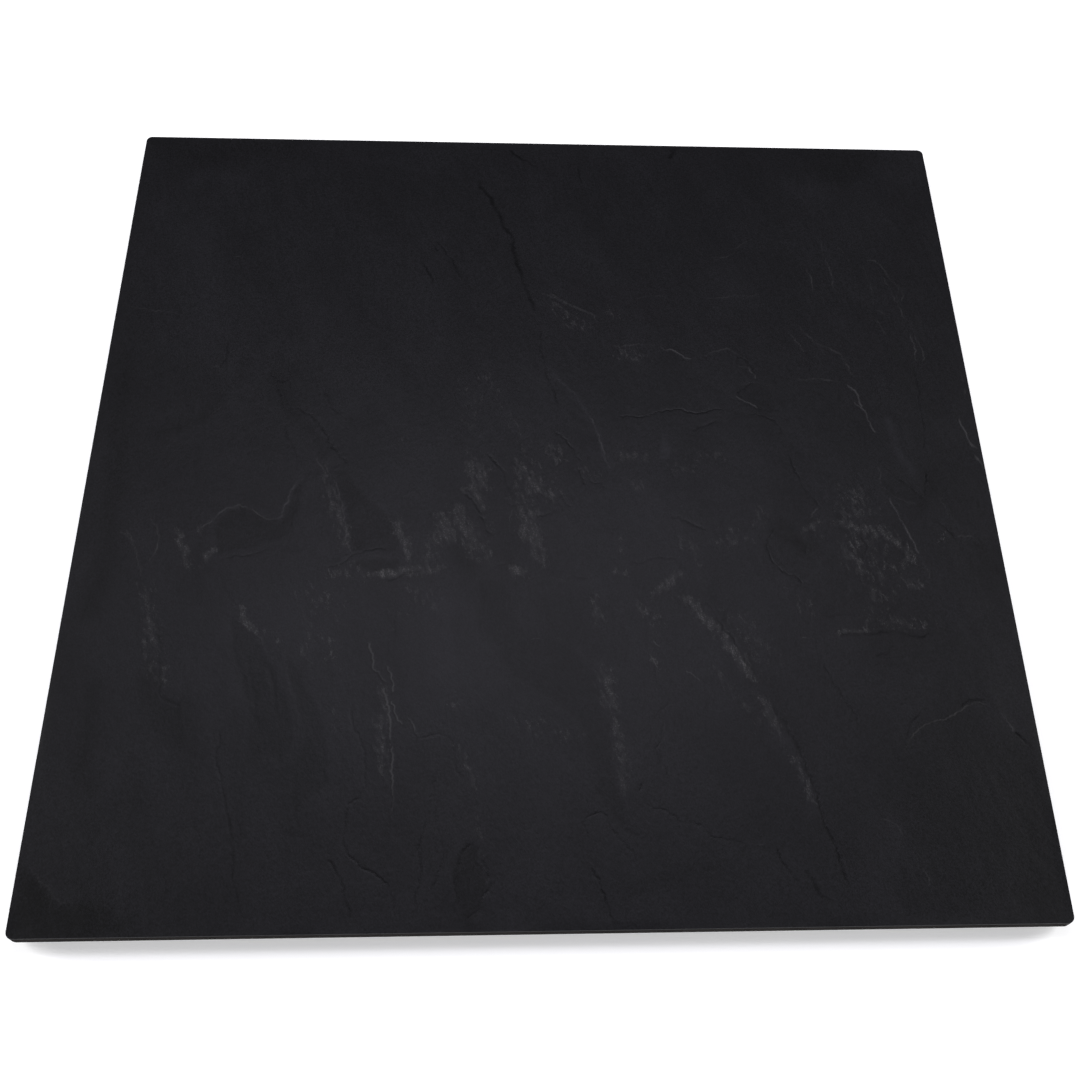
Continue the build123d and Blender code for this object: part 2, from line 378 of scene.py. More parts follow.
# %% Lips: paleness, width, line
LIPS = [
    # the far side
    (0.35, 2.0, [(2, 178), (8, 177), (16, 172), (26, 165), (36, 160), (46, 155)]),
    (0.6, 1.2, [(3, 177), (8, 173)]),
    (0.4, 1.0, [(6, 166), (10, 158), (14, 152)]),
    (0.4, 1.0, [(17, 148), (25, 140)]),
    (0.4, 1.0, [(28, 147), (33, 141), (38, 134)]),
    (0.15, 1.2, [(72, 168), (80, 174), (92, 177), (104, 176), (114, 170), (119, 164)]),
    (0.2, 1.0, [(150, 175), (162, 176), (173, 175)]),
    (0.3, 1.0, [(147, 217), (156, 220)]),
    (0.3, 1.2, [(239, 249), (243, 238), (244, 226), (247, 212), (249, 196), (250, 181)]),
    (0.3, 1.2, [(256, 234), (261, 230), (264, 221), (266, 216)]),
    (0.5, 1.2, [(227, 209), (230, 202), (231, 190), (232, 182)]),
    (0.3, 1.6, [(290, 219), (295, 209), (299, 199), (303, 194), (307, 189), (308, 183), (306, 172)]),
    (0.2, 1.4, [(287, 217), (292, 205), (297, 190), (300, 175), (304, 164)]),
    (0.25, 1.6, [(281, 166), (287, 162), (294, 158)]),
    (0.3, 1.4, [(280, 157), (284, 148), (288, 139)]),
    (0.35, 1.0, [(303, 243), (305, 235)]),
    (0.25, 1.2, [(-345, 162), (-335, 158), (-320, 156), (-299, 153)]),
    (0.3, 1.2, [(-260, 214), (-254, 213), (-251, 209)]),
    (0.35, 1.2, [(278, 219), (289, 219), (297, 201), (306, 190), (302, 171), (307, 153)]),
    (0.2, 1.2, [(278, 217), (281, 190), (281, 169)]),
    (0.2, 1.2, [(137, 174), (158, 178), (174, 177), (186, 181), (198, 185)]),
    (0.3, 1.2, [(145, 218), (161, 222), (171, 233), (185, 243)]),
    (0.3, 1.2, [(-5, 179), (19, 169), (40, 158), (49, 145)]),
    (0.2, 1.2, [(3, 168), (20, 160), (34, 150)]),
    (0.35, 1.1, [(-321, -51), (-307, -59), (-303, -72), (-298, -88)]),
    # the middle
    (0.45, 1.1, [(310, 152), (312, 143), (313, 133), (316, 124), (317, 115), (312, 110)]),
    (0.6, 1.1, [(308, 142), (309, 132), (311, 122), (309, 116), (312, 110)]),
    (0.45, 1.1, [(206, 138), (210, 131), (214, 125), (216, 119)]),
    (0.25, 1.8, [(213, 148), (218, 140), (225, 131), (232, 127), (240, 122), (246, 118), (250, 112),
                 (252, 104), (255, 91)]),
    (0.35, 1.1, [(-268, 101), (-260, 101)]),
    (0.4, 1.1, [(35, 56), (40, 45), (43, 33), (45, 24), (48, 12), (51, 4)]),
    (0.45, 1.1, [(55, 124), (65, 124), (75, 126), (86, 127), (94, 125)]),
    (0.8, 1.2, [(94, 125), (100, 121), (108, 120), (112, 117), (116, 113), (123, 111)]),
    (0.35, 1.4, [(130, 115), (137, 118), (146, 121), (152, 123), (157, 119), (162, 115)]),
    (0.55, 1.2, [(159, 106), (165, 105), (169, 102), (172, 97), (172, 91)]),
    (0.85, 1.2, [(156, 76), (159, 72), (165, 69), (170, 66), (173, 63)]),
    (0.3, 0.9, [(150, 58), (162, 57), (174, 57)]),
    (0.45, 1.1, [(204, 93), (210, 92), (218, 92), (225, 93), (233, 91), (241, 90), (247, 88)]),
    (1.0, 1.3, [(247, 88), (252, 83), (256, 76), (256, 70), (258, 63)]),
    (0.75, 1.2, [(253, 72), (257, 64), (261, 58), (263, 50), (265, 41), (268, 40)]),
    (1.0, 1.1, [(336, 57), (337, 48), (340, 38), (343, 26), (346, 14), (349, 3)]),
    (0.3, 1.2, [(344, 105), (345, 92), (346, 77)]),
    (0.5, 1.1, [(264, 8), (265, 2), (263, -9)]),
    (0.4, 1.1, [(263, -9), (268, -15), (274, -20), (281, -24), (291, -25)]),
    (1.0, 1.2, [(270, -17), (269, -23), (273, -32), (276, -42), (279, -52), (283, -63), (286, -72)]),
    (0.35, 1.1, [(287, -78), (291, -86), (290, -93)]),
    (0.25, 1.1, [(304, -13), (309, -22), (312, -30), (313, -38)]),
    (0.4, 1.1, [(303, -43), (307, -48)]),
    (0.4, 1.1, [(317, -55), (323, -55), (329, -55)]),
    (0.3, 1.3, [(322, -39), (327, -48)]),
    (0.55, 1.2, [(203, -40), (207, -34), (212, -30)]),
    (0.4, 1.1, [(170, -72), (174, -79), (180, -86), (187, -89)]),
    (0.45, 1.2, [(-315, -48), (-310, -55), (-307, -64), (-303, -74), (-300, -82), (-297, -91)]),
    (0.45, 1.2, [(-299, -39), (-293, -46), (-289, -55), (-289, -65), (-293, -74), (-295, -79)]),
    (0.4, 1.4, [(-178, 15), (-172, 5), (-167, -4)]),
    (0.55, 1.2, [(-25, -31), (-28, -40), (-27, -51)]),
    (0.45, 1.0, [(1, -90), (8, -92), (15, -95)]),
    (0.5, 1.0, [(12, -86), (19, -89)]),
    # the near side
    (1.0, 1.3, [(-130, -141), (-128, -148), (-126, -156), (-125, -164), (-119, -170), (-113, -174)]),
    (1.0, 1.2, [(-115, -161), (-112, -168), (-110, -176), (-110, -183)]),
    (1.0, 1.5, [(-119, -177), (-115, -186), (-112, -196), (-111, -206), (-110, -220)]),
    (0.75, 1.2, [(-110, -220), (-109, -236), (-108, -252), (-107, -271)]),
    (0.9, 1.1, [(-112, -188), (-109, -196), (-106, -203), (-102, -207)]),
    (0.75, 1.2, [(-100, -201), (-95, -206), (-94, -211), (-91, -216)]),
    (0.25, 1.0, [(-91, -217), (-84, -216), (-75, -215)]),
    (0.6, 1.2, [(-212, -134), (-206, -139), (-203, -148), (-199, -151)]),
    (0.2, 1.0, [(-199, -151), (-190, -149)]),
    (0.5, 1.1, [(-178, -146), (-174, -154), (-168, -161)]),
    (0.3, 1.0, [(-186, -100), (-183, -109)]),
    (0.45, 0.9, [(-14, -141), (0, -140), (11, -141)]),
    (0.75, 1.1, [(77, -142), (82, -147)]),
    (0.65, 1.1, [(99, -166), (105, -170), (109, -175)]),
    (0.35, 1.0, [(115, -181), (120, -188)]),
    (0.3, 1.0, [(66, -267), (72, -269)]),
    (0.3, 1.0, [(117, -293), (123, -294)]),
    (0.35, 1.0, [(138, -295), (145, -294)]),
    (0.4, 0.9, [(185, -141), (196, -141), (211, -140)]),
    (0.65, 1.1, [(325, -200), (330, -208), (332, -215)]),
    (0.2, 1.3, [(226, -276), (235, -279), (240, -285), (244, -292)]),
    (0.35, 1.1, [(252, -311), (255, -321)]),
    (0.15, 1.4, [(-344, -302), (-335, -310), (-325, -320), (-318, -328), (-307, -325)]),
]
print(len(LIPS), "lips")

# %% Scuffs: strength, width, line
SCUFFS = [
    # the left side
    (0.7, 6, [(-277, -50), (-273, -62), (-268, -74), (-262, -82)]),
    (0.4, 7, [(-262, -52), (-250, -42)]),
    (0.7, 6, [(-243, -62), (-249, -70), (-255, -80)]),
    (0.45, 9, [(-170, -6), (-163, -22), (-156, -42), (-150, -62), (-146, -70)]),
    (0.35, 12, [(-166, -88), (-150, -84), (-138, -88)]),
    (0.22, 22, [(-166, -100), (-160, -118)]),
    (0.45, 10, [(-295, -92), (-290, -112), (-286, -132), (-283, -155), (-278, -174)]),
    (0.3, 5, [(-278, -140), (-272, -165), (-270, -182)]),
    (0.85, 5, [(-227, -110), (-222, -120), (-218, -128), (-211, -134)]),
    (0.4, 7, [(-203, -136), (-192, -142)]),
    (0.4, 6, [(-176, -122), (-172, -140), (-176, -152), (-170, -160)]),
    (0.25, 9, [(-160, -138), (-154, -162)]),
    (0.3, 6, [(-152, -188), (-147, -212)]),
    # the burst in the middle
    (0.85, 9, [(-60, 14), (-52, 2), (-45, -12)]),
    (0.8, 10, [(-20, 10), (-10, -6), (6, -22)]),
    (0.75, 9, [(-22, -28), (-15, -45), (-6, -62), (-3, -78)]),
    (0.8, 9, [(-79, -36), (-74, -60)]),
    (0.8, 10, [(-63, -42), (-52, -72)]),
    (1.0, 6, [(-132, -88), (-108, -85), (-90, -83)]),
    (1.0, 6, [(-29, -82), (-15, -88)]),
    (1.0, 4, [(231, -60), (239, -65)]),
    (0.5, 12, [(5, 30), (12, 5)]),
    (0.85, 7, [(-117, -38), (-112, -48), (-108, -58), (-105, -68), (-102, -79)]),
    (1.0, 4, [(-131, -88), (-120, -86), (-110, -84), (-98, -82)]),
    (0.6, 4, [(-93, -88), (-86, -84), (-77, -82)]),
    (0.35, 10, [(-88, -58), (-86, -70), (-92, -79)]),
    (0.6, 4, [(-99, -98), (-95, -104)]),
    (0.7, 8, [(-79, -34), (-81, -48), (-78, -64)]),
    (0.7, 10, [(-70, -30), (-64, -45), (-58, -60), (-52, -74)]),
    (0.4, 11, [(-51, -60), (-44, -76)]),
    (0.8, 9, [(-61, 14), (-57, 6), (-52, -3)]),
    (0.5, 8, [(-47, 15), (-45, 0)]),
    (0.55, 6, [(-60, -6), (-52, -20), (-47, -32)]),
    (0.7, 4, [(-67, -12), (-63, -17)]),
    (0.5, 5, [(-45, -38), (-41, -52)]),
    (0.38, 17, [(-22, 12), (-16, -8), (-14, -28)]),
    (0.4, 3, [(-22, 32), (-16, 18), (-5, 9), (4, -6), (15, -21)]),
    (0.35, 10, [(6, 28), (11, 12), (12, -4)]),
    (0.65, 8, [(-23, -36), (-15, -40), (-8, -30)]),
    (0.5, 7, [(-19, -48), (-12, -60), (-8, -75)]),
    (0.95, 5, [(-30, -80), (-22, -83), (-13, -90)]),
    (0.22, 9, [(-112, 38), (-104, 16)]),
    (0.2, 6, [(-72, 98), (-58, 93), (-43, 90), (-35, 75), (-28, 55), (-21, 35)]),
    (0.16, 12, [(-66, 88), (-55, 55), (-52, 40)]),
    (0.35, 8, [(29, 6), (38, 0), (42, -6)]),
    (0.5, 4, [(46, -85), (55, -86), (62, -88)]),
    (0.25, 5, [(55, -53), (57, -75)]),
    # right of the middle
    (0.3, 6, [(53, 163), (64, 154)]),
    (0.22, 14, [(10, 165), (25, 150), (38, 140)]),
    (0.3, 12, [(58, 112), (70, 117), (86, 112)]),
    (0.35, 10, [(54, 13), (66, 19), (78, 17)]),
    (0.25, 5, [(52, 26), (62, 26)]),
    (0.3, 7, [(65, -8), (72, -10), (77, -3)]),
    (0.22, 14, [(100, 2), (120, 10), (143, 18)]),
    (0.3, 8, [(126, -62), (140, -60), (157, -58)]),
    (0.4, 4, [(132, -49), (149, -48)]),
    (0.3, 5, [(101, -53), (103, -72)]),
    (0.45, 6, [(113, -60), (116, -77)]),
    (0.32, 13, [(162, -44), (169, -31)]),
    (0.8, 6, [(77, -106), (85, -99), (92, -93), (99, -87)]),
    (0.4, 9, [(66, -112), (78, -120), (82, -135)]),
    (0.4, 8, [(34, -105), (36, -120), (40, -128)]),
    (0.45, 5, [(74, -150), (79, -163)]),
    (0.9, 7, [(101, -106), (112, -118), (120, -128), (128, -138), (135, -150), (142, -162),
              (148, -174)]),
    (0.6, 6, [(150, -182), (158, -200), (165, -216)]),
    (0.42, 5, [(163, -214), (172, -232), (178, -250), (182, -272)]),
    (0.35, 6, [(120, -165), (132, -180), (142, -200), (148, -210)]),
    (0.25, 17, [(132, -118), (150, -145), (160, -165)]),
    (0.6, 11, [(40, -165), (44, -180), (46, -198)]),
    (0.5, 8, [(47, -198), (50, -222), (52, -242)]),
    (0.35, 4, [(50, -240), (49, -262)]),
    (0.5, 3, [(54, -188), (59, -192)]),
    # the cluster by the right side
    (0.42, 22, [(243, -14), (240, -28), (236, -42)]),
    (0.65, 9, [(226, -42), (240, -48), (258, -52), (270, -58)]),
    (0.5, 10, [(236, -60), (236, -75), (240, -92)]),
    (1.0, 5, [(236, -61), (243, -61)]),
    (0.5, 9, [(262, -55), (274, -64), (279, -76), (272, -84)]),
    (0.4, 9, [(256, -76), (264, -86), (272, -92)]),
    (0.85, 5, [(274, -98), (284, -97)]),
    (0.3, 13, [(240, -98), (255, -112)]),
    (0.75, 5, [(196, -52), (205, -48), (211, -43)]),
    (0.4, 4, [(205, -60), (213, -56)]),
    (0.3, 6, [(300, -60), (311, -50)]),
    (0.28, 11, [(181, -98), (190, -112), (199, -122)]),
    (0.85, 4, [(212, -137), (225, -135), (241, -134)]),
    (0.6, 4, [(261, -134), (276, -133)]),
    (0.35, 10, [(238, -127), (262, -126), (287, -129)]),
    (0.15, 40, [(240, -20), (245, -70), (250, -110)]),
    # the near side
    (0.65, 7, [(-117, -178), (-114, -194)]),
    (0.5, 8, [(-117, -200), (-116, -225), (-114, -244)]),
    (0.45, 4, [(-66, -217), (-60, -230), (-54, -242), (-50, -262)]),
    (0.2, 3, [(-50, -262), (-48, -285), (-45, -312)]),
    (0.35, 3, [(-73, -190), (-64, -192)]),
    (0.2, 12, [(-22, -204), (0, -208), (20, -215)]),
    (0.25, 30, [(-100, -110), (-95, -118)]),
]
print(len(SCUFFS), "scuffs")

# %% Tones: change, width, line
TONES = [
    (-0.25, 15, [(-25, -60), (-28, -76)]),
    (-0.3, 10, [(-68, -66), (-62, -75), (-56, -83)]),
    (-0.35, 15, [(180, -47), (190, -58), (199, -63)]),
    (-0.25, 14, [(336, -66), (340, -82)]),
    (-0.25, 9, [(292, -30), (300, -20), (306, 5)]),
    (-0.3, 8, [(-318, -175), (-316, -210), (-313, -250)]),
    (-0.3, 14, [(-337, 110), (-335, 40), (-330, -30), (-332, -120)]),
    (-0.2, 8, [(48, -322), (75, -318), (112, -312)]),
    (-0.2, 30, [(-345, 345), (-310, 330), (-230, 340)]),
    (-0.15, 12, [(-240, 100), (-250, 70), (-262, 52), (-300, 34)]),
    (-0.2, 7, [(-172, 15), (-184, 40), (-204, 60), (-215, 90)]),
    (-0.15, 10, [(-255, -190), (-248, -230), (-240, -280)]),
    (-0.15, 9, [(-224, -190), (-210, -240), (-200, -300)]),
    (-0.14, 12, [(-180, -240), (-172, -290), (-165, -330)]),
    (0.12, 9, [(-300, -185), (-298, -220), (-292, -250)]),
    (0.12, 10, [(-275, -215), (-268, -250), (-258, -290)]),
    (0.12, 7, [(-216, -205), (-206, -250), (-196, -290)]),
    (0.1, 20, [(-305, -290), (-280, -310)]),
    (0.12, 30, [(-325, 262), (-318, 238), (-292, 232)]),
    (0.12, 14, [(-302, 298), (-280, 303), (-262, 298)]),
    (0.15, 10, [(-205, 312), (-190, 312)]),
    (0.12, 5, [(-158, 326), (-135, 324), (-110, 315)]),
    (0.1, 25, [(-285, 222), (-282, 170), (-275, 115)]),
    (0.12, 10, [(-299, 28), (-280, 34), (-263, 44), (-250, 60), (-243, 80)]),
    (0.1, 30, [(-185, 150), (-190, 120)]),
    (0.1, 25, [(-150, 30), (-145, 60)]),
    (0.6, 5.5, [(278, 52), (281, 35), (284, 18), (291, 3)]),
    (0.15, 4, [(290, 45), (293, 28)]),
    (0.14, 20, [(225, 302), (245, 296)]),
    # painted sheen: the near edge made lighter in its middle, where the sheen reaches
    (0.1, 45, [(-170, -325), (0, -330), (160, -325)]),
    # painted shade: the near right corner made darker, where the sheen falls away
    (-0.12, 45, [(335, -250), (335, -345)]),
    (0.14, 18, [(312, 316), (330, 318)]),
    (0.1, 35, [(165, 205), (170, 180)]),
    (0.24, 4.5, [(2, 104), (9, 95), (18, 83), (26, 72), (32, 61), (38, 50), (42, 38), (45, 24),
                (48, 12), (51, 4)]),
    (0.1, 22, [(60, 200), (75, 185)]),
    (0.1, 30, [(-170, -105), (-190, -120), (-175, -140)]),
    # painted sheen: a lighter streak where a facet catches the sheen
    (0.15, 22, [(-80, -112), (-78, -140), (-75, -166)]),
    (0.12, 30, [(70, -20), (95, -60)]),
    (0.1, 25, [(0, -240), (-10, -280)]),
    (0.25, 6, [(163, -214), (172, -232), (178, -250), (182, -272)]),
    (-0.15, 7, [(120, -104), (140, -140), (158, -175), (170, -205), (184, -240)]),
]
print(len(TONES), "tones")

# %% Plates: change of tone, softness of the edge, outline
PLATES = [
    (-0.27, 1.2, [(-247, -41), (-240, -33), (-232, -29), (-224, -32), (-216, -38), (-207, -42),
                  (-199, -40), (-195, -27), (-190, -8), (-186, -6), (-188, -30), (-192, -50),
                  (-201, -58), (-212, -59), (-222, -65), (-235, -67), (-244, -70), (-248, -54)]),
    (-0.32, 1.2, [(-163, 3), (-154, 3), (-147, -8), (-137, -21), (-126, -32), (-118, -40), (-115, -51),
                 (-111, -64), (-118, -67), (-131, -67), (-139, -68), (-145, -64), (-149, -53),
                 (-151, -40), (-154, -24), (-159, -11)]),
    (-0.32, 1.2, [(-143, -77), (-137, -75), (-123, -74), (-111, -76), (-111, -81), (-121, -84),
                 (-129, -84), (-139, -81)]),
    (-0.25, 3.0, [(-286, -161), (-281, -153), (-278, -163), (-273, -182), (-259, -190), (-249, -217),
                  (-246, -225), (-257, -222), (-270, -211), (-281, -198), (-289, -179)]),
    (-0.22, 2.5, [(-229, -123), (-225, -126), (-217, -134), (-206, -147), (-201, -158), (-190, -179),
                  (-182, -198), (-179, -222), (-185, -235), (-195, -227), (-206, -235), (-209, -211),
                  (-210, -190), (-219, -177), (-225, -163), (-229, -145)]),
    (-0.2, 2.5, [(-187, -155), (-179, -166), (-166, -190), (-158, -211), (-153, -233), (-151, -249),
                 (-163, -259), (-174, -270), (-177, -235), (-169, -217), (-177, -190), (-183, -174)]),
    (0.5, 2.0, [(94, 40), (98, 27), (98, 16), (90, 15), (91, 28)]),
    (0.16, 3.0, [(212, -275), (226, -270), (238, -272), (241, -300), (236, -345), (216, -345),
                 (214, -300)]),
    (-0.12, 12.0, [(240, -240), (262, -215), (300, -197), (345, -232), (345, -345), (262, -345),
                  (250, -292)]),
    (-0.15, 5.0, [(243, 349), (248, 318), (262, 305), (282, 310), (300, 325), (310, 349)]),
    (-0.12, 2.0, [(160, 86), (172, 88), (186, 84), (188, 62), (174, 60), (160, 70), (156, 78)]),
    (-0.14, 2.0, [(266, -8), (272, 4), (286, -6), (294, -16), (296, -22), (282, -24), (272, -18)]),
    (-0.12, 2.0, [(168, -62), (176, -48), (205, -60), (206, -80), (192, -98), (184, -88),
                  (172, -78)]),
    (0.1, 4.0, [(-259, -118), (-230, -123), (-215, -180), (-225, -205), (-243, -222), (-256, -165)]),
    (-0.5, 4.0, [(-349, -302), (-334, -313), (-321, -330), (-297, -326), (-281, -337), (-265, -349),
                 (-349, -349)]),
    (-0.24, 2.5, [(-50, -93), (-32, -93), (-27, -110), (-21, -126), (-13, -137), (5, -141),
                  (19, -150), (29, -166), (35, -179), (40, -201), (43, -225), (45, -249), (51, -275),
                  (59, -289), (51, -286), (40, -270), (32, -259), (29, -233), (27, -217), (13, -198),
                  (-5, -185), (-27, -169), (-29, -163), (-40, -145), (-53, -126)]),
    (-0.18, 4.0, [(-11, -108), (30, -100), (51, -110), (60, -140), (56, -165), (40, -158),
                  (25, -150), (-3, -135)]),
    (-0.35, 1.2, [(-57, -291), (-49, -294), (-47, -307), (-41, -313), (-44, -323), (-48, -339),
                  (-52, -347), (-63, -347), (-59, -337), (-64, -321), (-65, -310), (-61, -297)]),
    (-0.07, 1.5, [(-94, -215), (-69, -215), (-59, -233), (-50, -249), (-48, -270), (-47, -297),
                  (-60, -345), (-120, -345), (-118, -320), (-110, -260)]),
    # painted sheen: a lighter facet, tilted so that it mirrors more of the lamp
    (0.14, 5.0, [(-110, -95), (-50, -110), (-40, -150), (-25, -175), (-60, -200), (-100, -190)]),
]
print(len(PLATES), "plates")

# %% [markdown]
# ## From drawn lines to broken lines
#
# A few points joined by straight runs would look drawn, and a smooth curve through them would look
# like a worm. Stone breaks in kinks. So each run is halved again and again, and each new middle point
# is pushed sideways by a random share of the run's length. A fine line is halved until its runs are a
# millimetre long, and the broad marks stop sooner. The random numbers start from a fixed seed, so the
# stone is the same each time.

# %% Line helpers
KINK = 0.08  # the furthest that a middle point is pushed, as a share of its run
FINE_RUN = 9.0  # a run this short, in mm, is pushed further
FINE_KINK = 2.2  # how many times further


def ragged_line(points, shortest=1.0):
    """A line through the points, broken into kinks that are sharper where runs are short. In mm."""
    line = [np.array(point, float) for point in points]
    while max(np.linalg.norm(end - start) for start, end in zip(line, line[1:])) > shortest:
        broken = [line[0]]
        for start, end in zip(line, line[1:]):
            run = end - start
            if np.linalg.norm(run) > shortest:
                push = chance.uniform(-KINK, KINK) * (1 if np.linalg.norm(run) > FINE_RUN else FINE_KINK)
                broken.append((start + end) / 2 + push * np.array((-run[1], run[0])))
            broken.append(end)
        line = broken
    return np.array(line)


def measure_off(line, places, reach):
    """For the places within reach of a line: which they are, how far off it they are, with the
    right-hand side positive, and how far along it they are, from 0 to 1."""
    near = np.all((places > line.min(0) - reach) & (places < line.max(0) + reach), axis=1)
    which = np.flatnonzero(near)
    spots = places[which]
    gap = np.full(len(which), np.inf)
    side = np.ones(len(which))
    along = np.zeros(len(which))
    for number, (start, end) in enumerate(zip(line, line[1:])):
        run = end - start
        offset = spots - start
        share = np.clip(offset @ run / (run @ run), 0, 1)
        away = offset - share[:, None] * run
        distance = np.hypot(away[:, 0], away[:, 1])
        closer = distance < gap
        gap[closer] = distance[closer]
        side[closer] = np.sign(run[1] * offset[closer, 0] - run[0] * offset[closer, 1])
        along[closer] = (number + share[closer]) / (len(line) - 1)
    kept = gap < reach
    return which[kept], gap[kept] * side[kept], along[kept]


def length_of(line):
    """The length of a line, in mm."""
    return float(np.linalg.norm(np.diff(line, axis=0), axis=1).sum())


chance = np.random.default_rng(11)
fine_lines = [ragged_line(entry[-1]) for entry in STEPS + CRACKS + LIPS]
broad_lines = [ragged_line(entry[-1], 3.0) for entry in SCUFFS]
tone_lines = [ragged_line(entry[-1], 5.0) for entry in TONES]
outlines = [ragged_line(entry[-1] + entry[-1][:1], 1.6) for entry in PLATES]
FIRST_CRACK = len(STEPS)  # the fine lines are numbered through: steps, then cracks, then lips
FIRST_LIP = len(STEPS) + len(CRACKS)
print("drawn:", round(sum(length_of(line) for line in fine_lines)), "mm of fine line")

# %% [markdown]
# ## How strong a mark is, across it and along it
#
# A mark is strongest on its own line and fades to both sides. Along the line it fades at the two ends,
# and in between it comes and goes, because a sheet never parts evenly.

# %% Profiles of a mark


def ease(share):
    """A share that runs straight from 0 to 1, turned into one that starts and ends gently."""
    return share * share * (3 - 2 * share)


def bell(off, width):
    """1 on the line, falling to both sides and down to about a third at this width."""
    return np.exp(-((off / width) ** 2))


def fade_ends(along, share=0.15):
    """1 along most of a line, falling smoothly to 0 at its two ends."""
    return ease(np.clip(np.minimum(along, 1 - along) / share, 0, 1))


def uneven(number, along):
    """A strength that wavers along one of the fine lines, from 0.5 to 1.25."""
    length = length_of(fine_lines[number])
    samples = np.linspace(0, 1, max(8, int(length / 3)))
    values = [noise.noise((sample * length * 0.11, number * 3.7, 1.3)) for sample in samples]
    return np.clip(0.85 + 0.75 * np.interp(along, samples, values), 0.5, 1.25)


test_share = np.array((0.0, 0.075, 0.5))
print("a mark's strength from its end to its middle:", fade_ends(test_share))

# %% [markdown]
# ## More vertices where the stone is broken
#
# A broken edge is a millimetre wide and the slab is 700 across, so an even grid fine enough for it
# would have far too many faces. The grid is subdivided only round the marks, four times, each time in
# a narrower band. Soft marks need less: scuffs and narrow tones get the first two cuts, the crisp
# outlines of plates three, and only the boldest fine lines all four. Only whole square faces of the
# last size are cut again, which keeps the mesh neat.

# %% Subdivide round the marks
BANDS = [7.0, 3.6, 1.9, 1.0]  # half the width of each band, in mm
BOLD = 0.5  # fine lines at least this bold get the last cut
OUTLINE_CUTS = 3
SOFT_CUTS = 2
CRISP_EDGE = 3  # a plate with a softer edge than this, in mm, needs no finer mesh
NARROW_TONE = 8


def gap_to_lines(places, lines, reach):
    """How far each place is from the nearest of some lines, or reach if it is further."""
    gap = np.full(len(places), float(reach))
    for line in lines:
        which, off, along = measure_off(line, places, reach)
        gap[which] = np.minimum(gap[which], np.abs(off))
    return gap


boldness = [abs(drop) + 0.3 for drop, reach, pale, points in STEPS]
boldness += [deep * 1.2 for deep, wide, points in CRACKS]
boldness += [pale * 0.8 for pale, wide, points in LIPS]
for level, band in enumerate(BANDS):
    lines = list(fine_lines)
    if level == len(BANDS) - 1:
        lines = [line for line, bold in zip(fine_lines, boldness) if bold >= BOLD]
    if level < OUTLINE_CUTS:
        lines += [line for line, entry in zip(outlines, PLATES) if entry[1] < CRISP_EDGE]
    if level < SOFT_CUTS:
        lines += broad_lines + [line for line, entry in zip(tone_lines, TONES) if entry[1] < NARROW_TONE]
    faces = stone.data.polygons
    centres = read(faces, "center") / MM
    level_face = read(faces, "normal")[:, 2] > LEVEL
    square = read(faces, "loop_total", 1, np.int32) == 4
    whole = read(faces, "area", 1) > 0.9 * (WIDTH / CELLS / 2 ** level) ** 2
    close = gap_to_lines(centres[:, :2], lines, band) < band
    edit_chosen(stone, "FACE", level_face & square & whole & close)
    bpy.ops.mesh.subdivide(number_cuts=1, ngon=True)
    bpy.ops.object.mode_set(mode="OBJECT")
    print(f"band {band} mm round {len(lines)} lines: {triangles(stone)} triangles")

# %% [markdown]
# ## Splitting the face
#
# The depth of the split is worked out at every vertex of the face and painted into a vertex group,
# as a sculptor would mask it. A Displace modifier then pushes each vertex down by its weight. Painting
# first and displacing once keeps the ground, the steps and the cracks in one move, and the face never
# rises above the plane that the CAD model gives it. The ground itself is a broad swell drawn out along
# the stone's grain, with a finer ripple on it.

# %% Ground noise and plate outlines
GRAIN_TURN = math.radians(16)

places = read(stone.data.vertices, "co") / MM
on_face = places[:, 2] > stone_high.z / MM - 0.01
spots = places[on_face][:, :2]


def along_grain(spots, across_size, along_size, layer):
    """Smooth noise stretched along the stone's grain, from 0 to 1.2, at each place in mm."""
    cos, sin = math.cos(GRAIN_TURN), math.sin(GRAIN_TURN)
    across = (spots[:, 0] * cos + spots[:, 1] * sin) / across_size
    along = (spots[:, 1] * cos - spots[:, 0] * sin) / along_size
    pairs = zip(across, along)
    return np.clip([0.5 + 0.5 * noise.fractal((a, b, layer), 0.9, 2.1, 4) for a, b in pairs], 0, 1.2)


def inside_outline(outline, spots, soft):
    """1 inside a closed outline and 0 outside, with an edge about as wide as soft, in mm."""
    inside = np.zeros(len(spots), bool)
    for start, end in zip(outline, outline[1:]):
        spans = (start[1] > spots[:, 1]) != (end[1] > spots[:, 1])
        crossing = start[0] + (spots[spans, 1] - start[1]) / (end[1] - start[1]) * (end[0] - start[0])
        inside[spans] ^= spots[spans, 0] < crossing
    gap = np.full(len(spots), soft * 2.0)
    which, off, along = measure_off(outline, spots, soft * 2)
    gap[which] = np.abs(off)
    return ease(np.clip(0.5 + 0.5 * np.where(inside, gap, -gap) / soft, 0, 1))


print("vertices on the face:", len(spots))

# %% Depth at every vertex
DEEPEST = 2.2  # the depth that a full weight stands for; every depth here is in mm
GROUND = 0.12
SWELL = 0.5
SWELL_SIZE = (62, 150)
RIPPLE = 0.07
RIPPLE_SIZE = (14, 30)
STEP_DEPTH = 0.6
STEP_RAMP = 0.6  # how far the ground takes to fall over a step's edge
CRACK_DEPTH = 0.17
LIP_HEIGHT = 0.12
PLATE_DEPTH = 0.1  # of a plate that is at least this much darker
RIM_FADE = 16.0  # the face comes up towards the rim over this distance
RIM_SHARE = 0.6  # and keeps this share of its depth there

